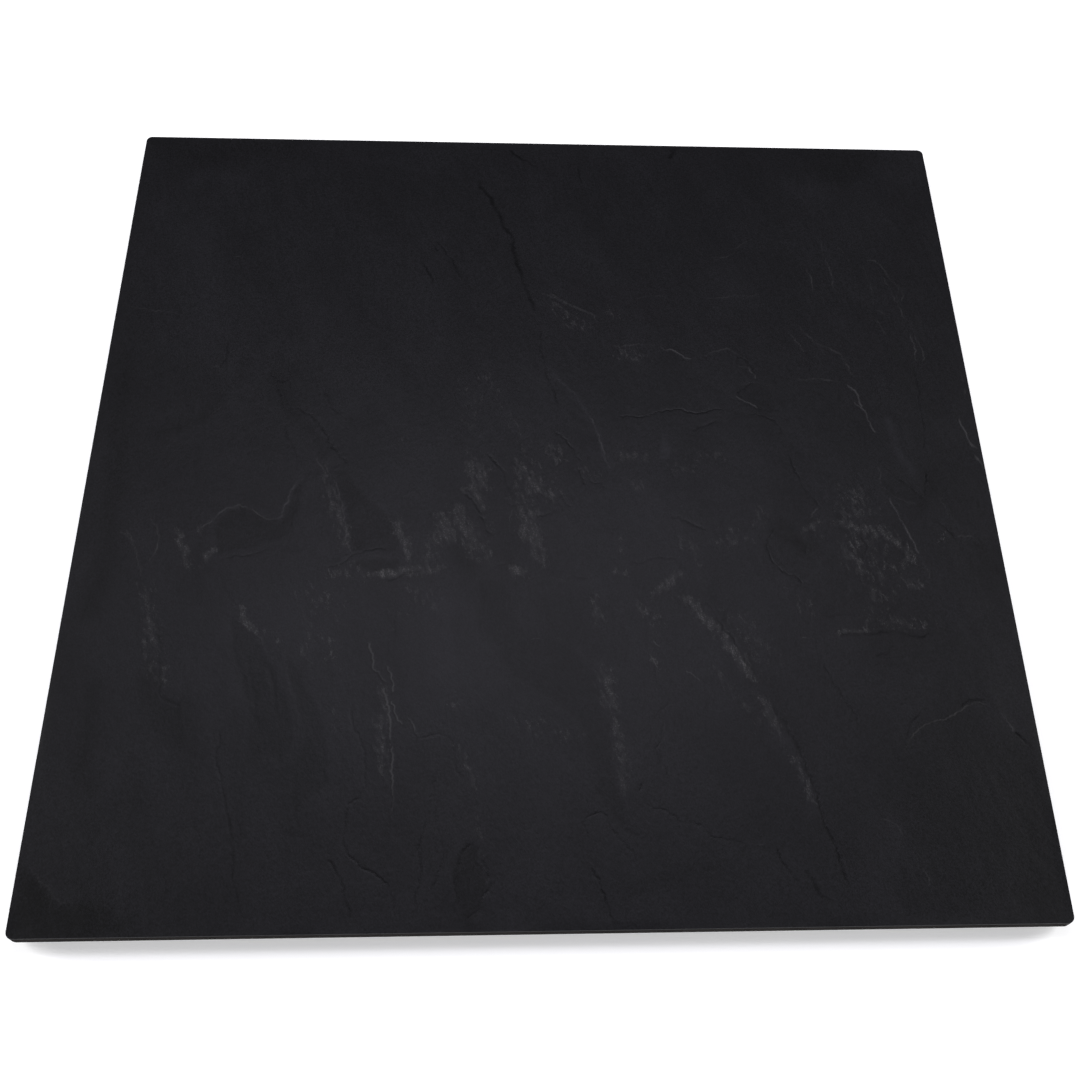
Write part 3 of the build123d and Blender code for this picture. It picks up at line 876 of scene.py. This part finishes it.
depth = GROUND + SWELL * along_grain(spots, *SWELL_SIZE, 2.0)
depth += RIPPLE * along_grain(spots, *RIPPLE_SIZE, 9.0)
for number, (drop, reach, pale, points) in enumerate(STEPS):
    which, off, along = measure_off(fine_lines[number], spots, abs(reach) * 2.5)
    low = off * np.sign(drop)
    fall = 0.5 + 0.5 * np.tanh(low / STEP_RAMP)
    back = np.exp(-np.clip(low, 0, None) / reach)
    depth[which] += STEP_DEPTH * abs(drop) * fall * back * fade_ends(along) * uneven(number, along)
for number, (deep, wide, points) in enumerate(CRACKS, FIRST_CRACK):
    which, off, along = measure_off(fine_lines[number], spots, wide * 2)
    depth[which] += CRACK_DEPTH * deep * bell(off, 0.6 * wide) * fade_ends(along) * uneven(number, along)
for number, (pale, wide, points) in enumerate(LIPS, FIRST_LIP):
    which, off, along = measure_off(fine_lines[number], spots, wide * 3)
    crest = bell(off, 0.6 * wide) - 0.6 * bell(off - wide, 0.7 * wide)
    depth[which] -= LIP_HEIGHT * pale * crest * fade_ends(along)
plates = np.zeros(len(spots))
for outline, (change, soft, points) in zip(outlines, PLATES):
    share = inside_outline(outline, spots, soft)
    plates += change * share
    depth += PLATE_DEPTH * share * (change < -0.1)
rim_gap = np.minimum(WIDTH / MM / 2 - np.abs(spots[:, 0]), DEPTH / MM / 2 - np.abs(spots[:, 1]))
inland = ease(np.clip(rim_gap / RIM_FADE, 0, 1))
depth = np.clip(depth * (RIM_SHARE + (1 - RIM_SHARE) * inland), 0, DEEPEST)
print(f"depth: mean {depth.mean():.2f} mm, deepest {depth.max():.2f} mm")

# %% Push the face down
split = stone.vertex_groups.new(name="split_depth")
for index, value in zip(np.flatnonzero(on_face), depth):
    split.add([int(index)], float(value / DEEPEST), "REPLACE")
clear_selection()
stone.select_set(True)
bpy.context.view_layer.objects.active = stone
push = stone.modifiers.new("split", "DISPLACE")
push.direction = "Z"
push.mid_level = 0
push.strength = -DEEPEST * MM
push.vertex_group = "split_depth"
bpy.ops.object.modifier_apply(modifier="split")
stone.vertex_groups.clear()
smooth_shading(stone, 40)
heights = read(stone.data.vertices, "co")[on_face][:, 2] / MM
print(f"the face lies between {heights.min():.2f} and {heights.max():.2f} mm above the bench")

# %% [markdown]
# ## Where the stone is pale or dark
#
# The same lines say how the colour changes: broken lips and crushed mineral are pale, partly with painted
# sheen and highlight, and cracks are darkened with painted shade.
# Each is painted as a number on the vertices, an attribute that the material reads and breaks up with
# finer noise. A painted picture could hold more, but an attribute stays with the shape it belongs to.
# Where two marks cross, the stronger one counts. Tones and plates add up instead. Faint marks are
# lifted more than bold ones, or the noise in the finish would swallow them.

# %% Paint lips, cracks, scuffs and tones
STEP_LIP = 1.1  # half the width of the broken lip of a step, in mm
FAINTEST_LIP = 0.3
FAINTEST_CRACK = 0.2
CRACK_LIFT = 1.3
LIFTED_CRACK = 0.6  # the most that a crack's lifted part comes to
FAINTEST_SCUFF = 0.32


def paint(name, values, least, most):
    """Keeps one number for each vertex of the stone under a name, 0 off the face."""
    values = np.clip(values, least, most)
    everywhere = np.zeros(len(stone.data.vertices))
    everywhere[on_face] = values
    stone.data.attributes.new(name, "FLOAT", "POINT").data.foreach_set("value", everywhere)
    print(f"{name}: mean {values.mean():.3f}, most {values.max():.2f}")


def strongest(layer, which, strength):
    """Adds a mark to a layer, where it is stronger than what is there."""
    layer[which] = np.maximum(layer[which], strength)


lips = np.zeros(len(spots))
broken_edges = [(number, entry[2], STEP_LIP) for number, entry in enumerate(STEPS)]
broken_edges += [(number, pale, 0.9 * wide) for number, (pale, wide, points) in enumerate(LIPS, FIRST_LIP)]
for number, pale, half_width in broken_edges:
    which, off, along = measure_off(fine_lines[number], spots, half_width)
    shape = np.clip(1 - np.abs(off) / half_width, 0, 1) * fade_ends(along, 0.08)
    strongest(lips, which, (FAINTEST_LIP * (pale > 0) + 0.6 * pale) * shape * uneven(number, along))

cracks = np.zeros(len(spots))
for number, (deep, wide, points) in enumerate(CRACKS, FIRST_CRACK):
    which, off, along = measure_off(fine_lines[number], spots, wide * 2)
    shape = np.clip(1.3 - 1.3 * np.abs(off) / (1.1 * wide), 0, 1) * fade_ends(along, 0.1)
    # how dark this crack is painted as painted shade, which also sets how strongly its hollow and smoother
    # sheen show
    dark = min(FAINTEST_CRACK + CRACK_LIFT * deep, LIFTED_CRACK) + 0.2 * deep
    strongest(cracks, which, dark * shape * uneven(number, along))

scuffs = np.zeros(len(spots))
for line, (strength, wide, points) in zip(broad_lines, SCUFFS):
    which, off, along = measure_off(line, spots, wide * 2.2)
    shape = bell(off, 0.9 * wide) * (0.75 + 0.25 * fade_ends(along, 0.2))
    strongest(scuffs, which, (FAINTEST_SCUFF + 0.38 * strength) * shape)

# tones and plates add up: the sheets' own tone, with painted sheen and painted shade in some of them
tones = plates.copy()
for line, (change, wide, points) in zip(tone_lines, TONES):
    which, off, along = measure_off(line, spots, wide * 1.6)
    tones[which] += change * bell(off, 0.6 * wide)

paint("lip", lips, 0, 1)
paint("crack", cracks, 0, 1)
paint("scuff", scuffs, 0, 1)
paint("tone", tones, -0.6, 0.6)

# %% [markdown]
# ## Helpers for finishes
#
# Every finish here is worked out from where a point lies on its piece, so it needs no pictures and has
# no seams. Each helper adds one kind of node and hands back its result, so that a finish reads as a
# short sum.

# %% Material helpers


def new_material(name):
    """A material with just its shader and output: the material, its tree and its shader."""
    material = bpy.data.materials.new(name)
    material.use_nodes = True
    return material, material.node_tree, material.node_tree.nodes["Principled BSDF"]


def fill_inputs(node, inputs):
    """Gives a node's inputs their numbers, or links them to other nodes' results."""
    for key, value in inputs.items():
        if isinstance(value, bpy.types.NodeSocket):
            node.id_data.links.new(value, node.inputs[key])
        else:
            node.inputs[key].default_value = value


def add_node(tree, kind, inputs=None, **settings):
    """A node with its settings and its inputs."""
    node = tree.nodes.new("ShaderNode" + kind)
    for key, value in settings.items():
        setattr(node, key, value)
    fill_inputs(node, inputs or {})
    return node


def arithmetic(operation, first, second, clamp=False):
    """A result put together with a number or with another result."""
    inputs = {0: first, 1: second}
    return add_node(first.id_data, "Math", inputs, operation=operation, use_clamp=clamp).outputs[0]


def plus(first, second, clamp=False):
    """The sum of a result and a number or another result."""
    return arithmetic("ADD", first, second, clamp)


def minus(first, second):
    """A result less a number or another result."""
    return arithmetic("SUBTRACT", first, second)


def times(first, second):
    """A result times a number or another result."""
    return arithmetic("MULTIPLY", first, second)


def stretch_range(value, low, high, to_low=0.0, to_high=1.0, kind="LINEAR"):
    """A value between low and high, stretched to run from to_low to to_high."""
    inputs = {"Value": value, "From Min": low, "From Max": high, "To Min": to_low, "To Max": to_high}
    return add_node(value.id_data, "MapRange", inputs, interpolation_type=kind).outputs["Result"]


def soft_range(value, low, high, to_low=0.0, to_high=1.0):
    """The same with a gentle start and end."""
    return stretch_range(value, low, high, to_low, to_high, "SMOOTHSTEP")


def blend(share, first, second):
    """Two colours mixed by a share."""
    inputs = {0: share, 6: first, 7: second}
    return add_node(share.id_data, "Mix", inputs, data_type="RGBA").outputs[2]


def shaded(colour, gain):
    """A colour made lighter or darker."""
    return add_node(colour.id_data, "VectorMath", {0: colour, "Scale": gain}, operation="SCALE").outputs[0]


def grain_noise(tree, size, stretch=(1, 1, 1), detail=3.0, roughness=0.55, turn=GRAIN_TURN):
    """Noise in features of about size metres, turned to the grain and stretched along it."""
    place = add_node(tree, "TexCoord").outputs["Object"]
    inputs = {"Vector": place, "Rotation": (0, 0, turn), "Scale": stretch}
    turned = add_node(tree, "Mapping", inputs, vector_type="TEXTURE")
    inputs = {"Vector": turned.outputs[0], "Scale": 1 / size, "Detail": detail, "Roughness": roughness}
    return add_node(tree, "TexNoise", inputs).outputs["Fac"]


def straight_noise(tree, size, detail, roughness, stretch=(1, 1, 1)):
    """Noise that isn't turned, for pieces that have no grain."""
    return grain_noise(tree, size, stretch, detail, roughness, turn=0)


def attribute(tree, name):
    """A number painted on the vertices."""
    return add_node(tree, "Attribute", attribute_name=name).outputs["Fac"]


def relief(height, distance, strength=1.0, under=None):
    """Fine relief from a result, raised or, where the distance is negative, sunk. It can lie on
    another relief."""
    inputs = {"Height": height, "Strength": strength, "Distance": abs(distance)}
    if under:
        inputs["Normal"] = under
    return add_node(height.id_data, "Bump", inputs, invert=distance < 0).outputs[0]


print("helpers ready; the stone's grain is turned", round(math.degrees(GRAIN_TURN)), "degrees")

# %% [markdown]
# ## The riven finish
#
# The stone is nearly black with a breath of blue. Its sheets differ a little in tone, in patches and
# streaks drawn out along the grain, and its surface is a fine matt tooth. It could be one flat black
# with a bump, but then it would look like moulded plastic: the tooth has to vary the tone too.

# %% The riven face
BLACK = (0.0034, 0.0033, 0.0042, 1)
BLACK_PALER = (0.0047, 0.0046, 0.0058, 1)
STREAK_TONE = 0.04
TOOTH_TONE = 0.95
MARK_TONE = 1.6  # how strongly the painted tones and plates show

riven, tree, shader = new_material("riven_black_stone")
sheets = grain_noise(tree, 0.050, (1, 1.4, 1), 5.0, 0.6)
streaks = grain_noise(tree, 0.0050, (1, 7, 1), 4.0, 0.6)
tooth = grain_noise(tree, 0.0010, (1, 1.4, 1), 3.0, 0.6)

colour = blend(soft_range(sheets, 0.36, 0.66), BLACK, BLACK_PALER)
streak_tone = stretch_range(streaks, 0.3, 0.7, -STREAK_TONE, STREAK_TONE)
tooth_tone = stretch_range(tooth, 0.25, 0.75, -TOOTH_TONE, TOOTH_TONE)
# the painted tones and plates: the sheets' own tone, and painted sheen and painted shade
mark_tone_and_painted_light = times(attribute(tree, "tone"), MARK_TONE)
toned = shaded(colour, plus(plus(streak_tone, tooth_tone), plus(mark_tone_and_painted_light, 1.0)))
print("tones of the bare stone:", len(tree.nodes), "nodes")

# %% [markdown]
# ## Crushed mineral and painted sheen
#
# Where the face was scuffed, the mineral is crushed to pale powder, and its pale colour also stands for
# painted sheen caught by the rough tooth. It shows in two ways: as ragged patches with a thin, mottled film
# of powder, thicker where the scuff is stronger, and as separate bright dots, which reach past the patches.
# Two noises shape the patches, one coarse and one drawn out in dashes along the grain, and a fine speck
# noise picks out the dots.

# %% Powder and dots where the stone is scuffed
# pale crushed mineral, which also stands in for painted sheen on its rough tooth
MINERAL_AND_SHEEN = (0.046, 0.045, 0.047, 1)

specks = grain_noise(tree, 0.0009, (1, 1.3, 1), 2.0, 0.6)
dashes = grain_noise(tree, 0.0032, (1, 2.4, 1), 5.0, 0.7)
patches = grain_noise(tree, 0.0100, (1, 2.0, 1), 5.0, 0.65)

scuff = attribute(tree, "scuff")
ragged = plus(times(patches, 0.9), times(dashes, 1.5))
patch = soft_range(plus(scuff, minus(ragged, 1.2)), 0.43, 0.5)
mottle = stretch_range(dashes, 0.32, 0.7, 0.02, 0.15)
thickness = stretch_range(scuff, 0.35, 0.68, 0.8, 1.9)
powder = times(times(patch, mottle), thickness)
brightest = plus(times(plus(specks, dashes), 0.5), times(scuff, 0.11))
dots = times(soft_range(brightest, 0.61, 0.65), stretch_range(scuff, 0.05, 0.7, 0.02, 0.6))
mineral_and_sheen_share = plus(dots, powder, clamp=True)
# painted sheen and pale mineral mixed in where the face is scuffed
scuffed = blend(mineral_and_sheen_share, toned, MINERAL_AND_SHEEN)
print("with crushed mineral:", len(tree.nodes), "nodes")

# %% [markdown]
# ## Broken lips and cracks
#
# A broken lip is a thin crumbled line of the same pale mineral, with painted highlight in its paleness too,
# so the speck noise eats into its edge.
# A crack is dark because little light comes back out of it, so its darkness is painted shade: it only
# darkens the colour that is already there.

# %% Lips and cracks
lip = attribute(tree, "lip")
crumbled = soft_range(plus(lip, times(minus(specks, 0.5), 0.5)), 0.08, 0.6)
lip_and_highlight_share = times(crumbled, stretch_range(lip, 0.0, 1.0, 0.12, 0.48))
# painted highlight and pale mineral along each broken lip
edged = blend(lip_and_highlight_share, scuffed, MINERAL_AND_SHEEN)

crack = attribute(tree, "crack")
crack_share = stretch_range(plus(crack, times(minus(specks, 0.5), 0.4)), 0.1, 0.75)
# painted shade: inside a crack the colour is darkened, down to 0.35 of itself
crack_shaded = shaded(edged, stretch_range(crack_share, 0.0, 1.0, 1.0, 0.35))
print("with lips and cracks:", len(tree.nodes), "nodes")

# %% [markdown]
# ## Sheen and tooth
#
# Split stone has a low satin sheen, a little smoother inside a crack. Under the light the face also
# shows relief too fine to model: a slow swell, a ripple, the tooth itself, the grit of the powder and
# the hollow of each crack. They lie one on another, so each relief is built on the last.

# %% Sheen and fine relief of the riven face
ripple = grain_noise(tree, 0.0045, (1, 1.2, 1), 5.0, 0.65)
swell = grain_noise(tree, 0.020, (1, 1.5, 1), 4.0, 0.6)
surface = None
for height, distance in ((swell, 0.0003), (ripple, 0.00013), (tooth, 0.000045), (mineral_and_sheen_share, 0.00008),
                         (crack_share, -0.00006)):
    surface = relief(height, distance, under=surface)
sheen = plus(stretch_range(streaks, 0.3, 0.7, 0.395, 0.425), times(crack_share, -0.08), clamp=True)
fill_inputs(shader, {"Base Color": crack_shaded, "Roughness": sheen, "Normal": surface,
                     "Specular IOR Level": 0.2})
print("riven finish:", len(tree.nodes), "nodes")

# %% [markdown]
# ## The sawn finish
#
# A diamond saw leaves the edge and the back flat, paler and a little warm, with fine marks along the
# cut. The edge is honed by hand afterwards, so its marks are faint. It gets almost no gloss: a glossy
# edge would mirror the pale floor at a low angle and turn white.

# %% The sawn edge and back
SAWN = (0.0078, 0.0069, 0.0066, 1)
SAWN_PALER = (0.0125, 0.0112, 0.0107, 1)
RIVEN_LAYER = 3 * MM  # the riven face lies in this much of the top of the stone
UPWARD = 0.3  # and its faces look at least this much upwards

sawn, tree, shader = new_material("sawn_stone")
cloud = straight_noise(tree, 0.018, 4.0, 0.6, (1, 1, 0.5))
marks = straight_noise(tree, 0.0009, 2.0, 0.5, (8, 8, 1))
dust = straight_noise(tree, 0.0007, 2.0, 0.6)
mixed = plus(times(cloud, 0.7), times(dust, 0.3))
fill_inputs(shader, {
    "Base Color": blend(soft_range(mixed, 0.35, 0.65), SAWN, SAWN_PALER),
    "Roughness": stretch_range(dust, 0.3, 0.7, 0.75, 0.9),
    "Specular IOR Level": 0.04,
    "Normal": relief(marks, 0.0002, 0.4),
})

stone.data.materials.append(riven)
stone.data.materials.append(sawn)
upward = read(stone.data.polygons, "normal")[:, 2] > UPWARD
high = read(stone.data.polygons, "center")[:, 2] > stone_high.z - RIVEN_LAYER
is_riven = upward & high
stone.data.polygons.foreach_set("material_index", np.where(is_riven, 0, 1).astype(np.int32))
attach(stone, "root")
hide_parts("stone_slab")
print("riven faces:", int(is_riven.sum()), "sawn faces:", int((~is_riven).sum()))

# %% [markdown]
# ## Resin film on the back
#
# Resin is spread over the sawn back to hold the glass net, and sets as a thin film that stops short of
# the edge. A plain block would have corners that poured resin never has. So the block's upright
# corners are bevelled round, and then the rim of its lower face is rolled over with a second bevel. The
# film is a little thinner than the CAD sheet, because the net stands proud of it underneath.

# %% Resin film
backing_low, backing_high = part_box("mesh_backing")
NET_PROUD = 0.18 * MM
FILM_CORNER = 3 * MM
FILM_ROLL = 0.3 * MM

film_low = backing_low + Vector((0, 0, NET_PROUD))
clear_selection()
bpy.ops.mesh.primitive_cube_add(
    size=1, location=(film_low + backing_high) / 2, scale=backing_high - film_low
)
film = bpy.context.active_object
film.name = "resin_film"
bpy.ops.object.transform_apply(location=True, rotation=True, scale=True)
ends = edge_ends(film)
edit_chosen(film, "EDGE", np.abs(ends[:, 0, 2] - ends[:, 1, 2]) > 0.1 * MM)
bpy.ops.mesh.bevel(offset=FILM_CORNER, segments=5, profile=0.5, affect="EDGES")
bpy.ops.object.mode_set(mode="OBJECT")
edit_chosen(film, "EDGE", (edge_ends(film)[:, :, 2] < film_low.z + 0.01 * MM).all(axis=1))
bpy.ops.mesh.bevel(offset=FILM_ROLL, segments=3, profile=0.5, affect="EDGES")
bpy.ops.object.mode_set(mode="OBJECT")
smooth_shading(film, 50)
print("film:", triangles(film), "triangles,", round((backing_high.z - film_low.z) / MM, 2), "mm thick")

# %% [markdown]
# ## Glass net
#
# The net is a laid scrim: strands of glass fibre one way, and on top of them strands the other way,
# stuck where they cross. A picture of a net on the film would be lighter, but it would have no relief
# when the slab is turned over. One strand is modelled as a flattened rod, cut into short lengths so
# that it can sway, and an Array modifier repeats it across the slab. A Displace modifier then moves all
# the strands of one layer sideways by the same smooth noise, since a net stretches as one sheet.

# %% Strands of the glass net
STRAND_PITCH = 5 * MM
STRAND_WIDTH = 1.1 * MM
STRAND_SIDES = 8
STRAND_CUTS = 20
STRAND_SHORT = 1.2 * MM  # how much shorter a strand is than the film
SWAY = 1.6 * MM
WEFT_TOP = 0.2 * MM  # above the lowest point of the backing
WARP_BOTTOM = 0.16 * MM  # so the two layers are pressed a little into each other
WARP_TOP = 0.36 * MM

sway_noise = bpy.data.textures.new("net_sway", "CLOUDS")
sway_noise.noise_scale = 0.09
sway_noise.noise_depth = 1


def lay_strands(name, low_z, high_z, across):
    """One layer of the net: strands that run along Y and repeat across X, or turned if across is 1."""
    length = (backing_high - backing_low)[1 - across] - STRAND_SHORT
    span = (backing_high - backing_low)[across]
    count = int((span - STRAND_PITCH) // STRAND_PITCH) + 1
    clear_selection()
    bpy.ops.mesh.primitive_cylinder_add(vertices=STRAND_SIDES, radius=0.5, depth=length, location=(0, 0, 0))
    layer = bpy.context.active_object
    layer.name = name
    layer.rotation_euler = (math.radians(90), 0, 0)
    bpy.ops.object.transform_apply(location=True, rotation=True, scale=True)
    layer.scale = (STRAND_WIDTH, 1, high_z - low_z)
    layer.rotation_euler = (0, 0, math.radians(90) * across)
    start = -(count - 1) / 2 * STRAND_PITCH
    layer.location = (start * (1 - across), start * across, (low_z + high_z) / 2)
    bpy.ops.object.transform_apply(location=True, rotation=True, scale=True)
    ends = edge_ends(layer)[:, :, 1 - across]
    edit_chosen(layer, "EDGE", np.abs(ends[:, 0] - ends[:, 1]) > length / 2)
    bpy.ops.mesh.subdivide(number_cuts=STRAND_CUTS)
    bpy.ops.object.mode_set(mode="OBJECT")
    repeat = layer.modifiers.new("repeat", "ARRAY")
    repeat.count = count
    repeat.use_relative_offset = False
    repeat.use_constant_offset = True
    repeat.constant_offset_displace = (STRAND_PITCH * (1 - across), STRAND_PITCH * across, 0)
    bpy.ops.object.modifier_apply(modifier="repeat")
    sway = layer.modifiers.new("sway", "DISPLACE")
    sway.texture = sway_noise
    sway.texture_coords = "LOCAL"
    sway.direction = "XY"[across]
    sway.mid_level = 0.5
    sway.strength = SWAY
    bpy.ops.object.modifier_apply(modifier="sway")
    smooth_shading(layer, 50)
    print(f"{name}: {count} strands, {triangles(layer)} triangles")
    return layer


warp = lay_strands("glass_net_warp", backing_low.z + WARP_BOTTOM, backing_low.z + WARP_TOP, 0)
weft = lay_strands("glass_net_weft", backing_low.z, backing_low.z + WEFT_TOP, 1)

# %% [markdown]
# ## Resin and wetted glass
#
# Clear resin on black stone looks like dark amber glass, clouded where air or stone dust is caught in
# it. Glass strands that resin has wetted turn a dull greenish white. The film gets a dark colour that
# a broad noise clouds and a smooth wet gloss, and the strands a pale one with fine lines along them.

# %% Resin and glass materials
RESIN = (0.020, 0.017, 0.012, 1)
RESIN_CLOUDED = (0.060, 0.056, 0.044, 1)
GLASS = (0.34, 0.36, 0.33, 1)
GLASS_WET = (0.20, 0.21, 0.18, 1)

resin, tree, shader = new_material("backing_resin")
haze = straight_noise(tree, 0.035, 5.0, 0.6)
caught_dust = straight_noise(tree, 0.0012, 3.0, 0.6)
flow = straight_noise(tree, 0.006, 3.0, 0.5)
clouded = plus(times(haze, 0.75), times(caught_dust, 0.25))
fill_inputs(shader, {
    "Base Color": blend(soft_range(clouded, 0.4, 0.66), RESIN, RESIN_CLOUDED),
    "Roughness": stretch_range(haze, 0.3, 0.7, 0.2, 0.36),
    "Normal": relief(flow, 0.0003, 0.5),
})


def strand_material(name, stretch):
    """Wetted glass fibre, with its filaments drawn out along one axis."""
    material, tree, shader = new_material(name)
    wetting = straight_noise(tree, 0.012, 4.0, 0.6)
    filaments = straight_noise(tree, 0.00018, 2.0, 0.5, stretch)
    fill_inputs(shader, {
        "Base Color": blend(soft_range(wetting, 0.38, 0.64), GLASS, GLASS_WET),
        "Roughness": stretch_range(filaments, 0.3, 0.7, 0.3, 0.5),
        "Normal": relief(filaments, 0.00005, 0.6),
    })
    return material


film.data.materials.append(resin)
warp.data.materials.append(strand_material("glass_strand_along_y", (1, 40, 1)))
weft.data.materials.append(strand_material("glass_strand_along_x", (40, 1, 1)))
for piece in (film, warp, weft):
    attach(piece, "root")
    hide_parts("mesh_backing")
print("backing pieces:", film.name, warp.name, weft.name)

# %% [markdown]
# ## Rubber and foam
#
# The feet and the tape under them have their right shape in the CAD model, so those nodes stay and only
# get a finish. Moulded rubber is a dull charcoal with a fine moulded grain and a bloom of pale dust on
# it. Foam tape is full of closed bubbles, so its material is cells with thin paler walls.

# %% Rubber and foam materials
RUBBER = (0.010, 0.010, 0.011, 1)
RUBBER_DUSTY = (0.030, 0.030, 0.031, 1)
FOAM = (0.42, 0.42, 0.40, 1)
FOAM_WALL = (0.62, 0.62, 0.60, 1)
BUBBLE = 0.35 * MM

rubber, tree, shader = new_material("moulded_rubber")
moulded = straight_noise(tree, 0.0005, 3.0, 0.6)
bloom = straight_noise(tree, 0.006, 4.0, 0.6)
fill_inputs(shader, {
    "Base Color": blend(soft_range(bloom, 0.42, 0.66), RUBBER, RUBBER_DUSTY),
    "Roughness": stretch_range(bloom, 0.3, 0.7, 0.62, 0.8),
    "Specular IOR Level": 0.35,
    "Normal": relief(moulded, 0.00008, 0.5),
})

foam, tree, shader = new_material("foam_tape")
place = add_node(tree, "TexCoord").outputs["Object"]
cells = add_node(tree, "TexVoronoi", {"Vector": place, "Scale": 1 / BUBBLE}, feature="DISTANCE_TO_EDGE")
wall = soft_range(cells.outputs["Distance"], 0.02, 0.14, 1.0, 0.0)
fill_inputs(shader, {
    "Base Color": blend(wall, FOAM, FOAM_WALL),
    "Roughness": stretch_range(wall, 0.0, 1.0, 0.85, 0.7),
    "Specular IOR Level": 0.2,
    "Normal": relief(wall, 0.00015, 0.6),
})

for name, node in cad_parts.items():
    if name.startswith("foot"):
        node.data.materials.clear()
        node.data.materials.append(foam if name.startswith("foot_tape") else rubber)
print("finished nodes:", sum(name.startswith("foot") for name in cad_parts))
